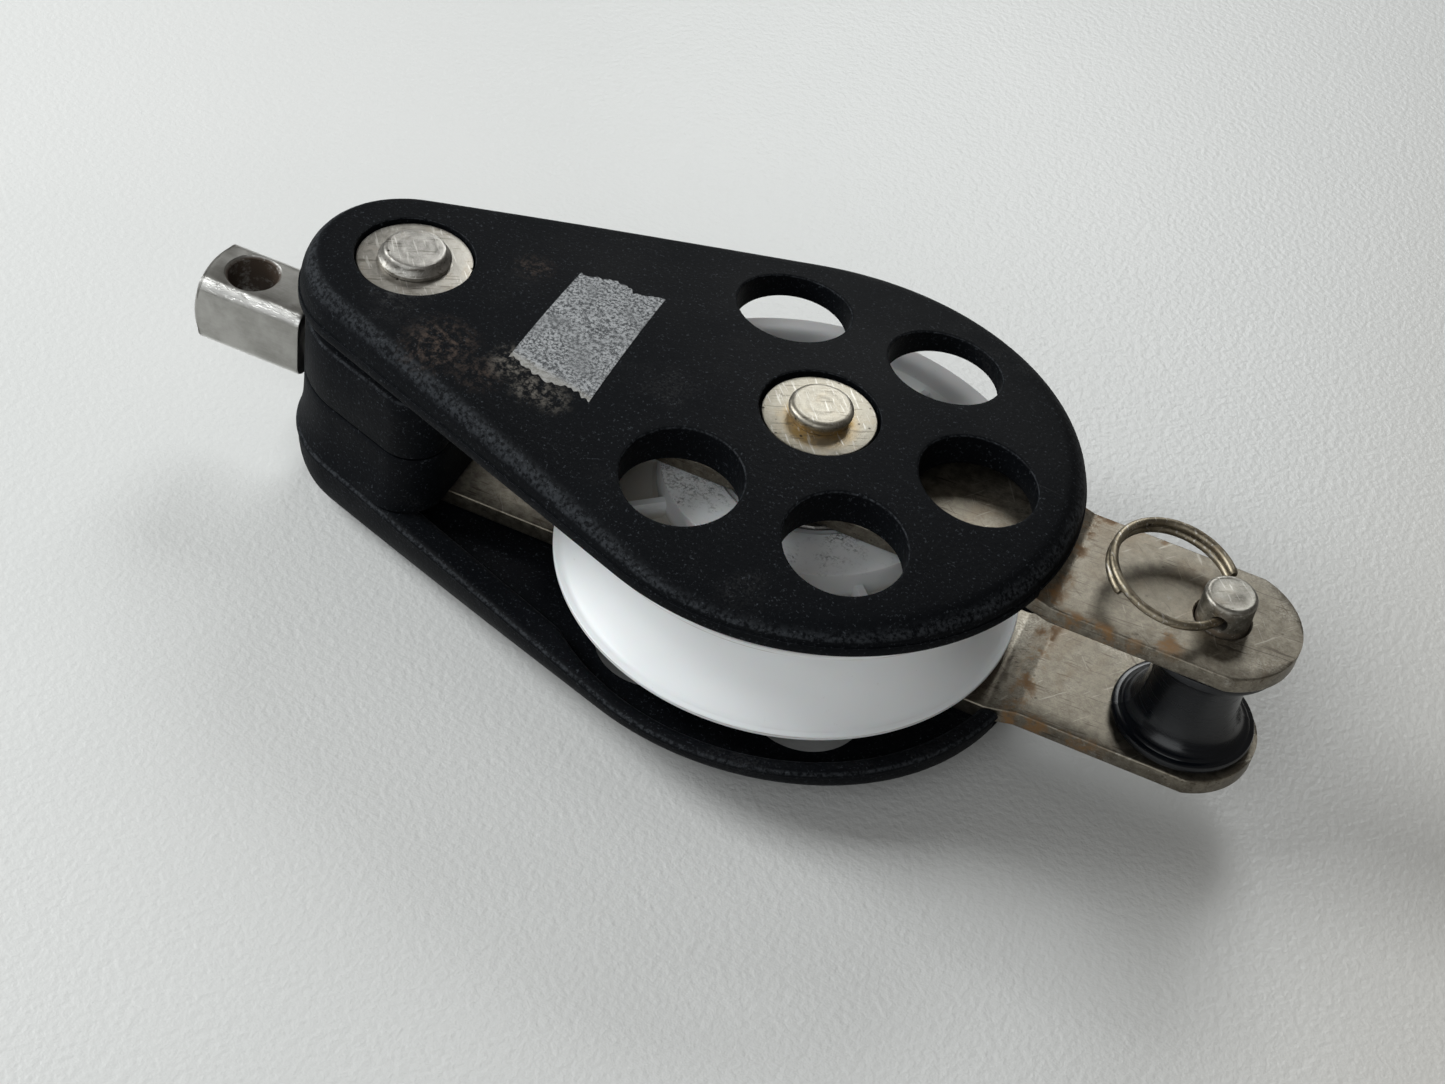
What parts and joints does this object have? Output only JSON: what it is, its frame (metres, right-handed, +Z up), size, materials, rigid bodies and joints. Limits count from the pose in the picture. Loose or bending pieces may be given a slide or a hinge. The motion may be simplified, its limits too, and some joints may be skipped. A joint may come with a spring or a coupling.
{
  "type": "single-sheave becket block",
  "caption": "Pulley block: one wide white sheave between two drilled black teardrop cheeks, with steel straps, a swivel post and a becket pin with a spool.",
  "frame": {"origin": "on the main axle's axis, on the flat end of the lower rivet that the block rests on", "axes": "+X from the head to the becket, +Z up through the block's thickness along the axle"},
  "size_m": [0.1853, 0.085, 0.0488],
  "materials": {
    "black_moulding": "fibre-filled black moulding, matte and slightly grainy, scuffed grey along its edges",
    "stainless_strap": "matte stainless strip with brown water stains and white scuffs",
    "stainless_pin": "turned stainless, satin, dulled by use",
    "stainless_washer": "flat stainless washer, stained golden brown",
    "white_acetal": "white acetal, satin, faintly grimy",
    "roller_resin": "plain resin roller, satin",
    "spring_steel": "drawn stainless spring wire, brownish",
    "spool_black": "polished black moulding"
  },
  "bodies": {
    "block_frame": {"upper_cheek": "black_moulding", "lower_cheek": "black_moulding", "upper_strap": "stainless_strap", "lower_strap": "stainless_strap", "head_block_upper": "black_moulding", "head_block_lower": "black_moulding", "main_axle": "stainless_pin", "axle_washer_upper": "stainless_washer", "axle_washer_lower": "stainless_washer", "head_pin": "stainless_pin", "head_washer_upper": "stainless_washer", "head_washer_lower": "stainless_washer", "bearing_sleeve": "stainless_pin", "thrust_washer_upper": "stainless_washer", "thrust_washer_lower": "stainless_washer"},
    "sheave": {"sheave": "white_acetal", "bearing_retainer_upper": "white_acetal", "bearing_retainer_lower": "white_acetal"},
    "rollers": {"bearing_roller_01": "roller_resin", "bearing_roller_02": "roller_resin", "bearing_roller_03": "roller_resin", "bearing_roller_04": "roller_resin", "bearing_roller_05": "roller_resin", "bearing_roller_06": "roller_resin", "bearing_roller_07": "roller_resin", "bearing_roller_08": "roller_resin", "bearing_roller_09": "roller_resin", "bearing_roller_10": "roller_resin"},
    "swivel_post": {"swivel_post": "stainless_pin"},
    "becket_pin": {"becket_pin": "stainless_pin"},
    "split_ring": {"split_ring": "spring_steel"},
    "becket_spool": {"becket_spool": "spool_black"}
  },
  "joints": [
    {"name": "sheave_spin", "type": "hinge", "parent": "block_frame", "child": "sheave", "pos_m": [0, 0, 0.0244], "axis": [0, 0, 1], "continuous": true},
    {"name": "roller_orbit", "type": "hinge", "parent": "block_frame", "child": "rollers", "pos_m": [0, 0, 0.0244], "axis": [0, 0, 1], "continuous": true},
    {"name": "post_swivel", "type": "hinge", "parent": "block_frame", "child": "swivel_post", "pos_m": [-0.08, 0, 0.0244], "axis": [1, 0, 0], "continuous": true},
    {"name": "becket_pin_turn", "type": "hinge", "parent": "block_frame", "child": "becket_pin", "pos_m": [0.0667, 0, 0.0244], "axis": [0, 0, 1], "continuous": true},
    {"name": "ring_swing", "type": "hinge", "parent": "becket_pin", "child": "split_ring", "pos_m": [0.0667, 0, 0.0399], "axis": [0.0698, 0.9976, 0], "range_deg": [-8, 160]},
    {"name": "spool_spin", "type": "hinge", "parent": "block_frame", "child": "becket_spool", "pos_m": [0.0667, 0, 0.0244], "axis": [0, 0, 1], "continuous": true}
  ],
  "couplings": [
    {"joint": "roller_orbit", "follows": "sheave_spin", "ratio": 0.636}
  ]
}
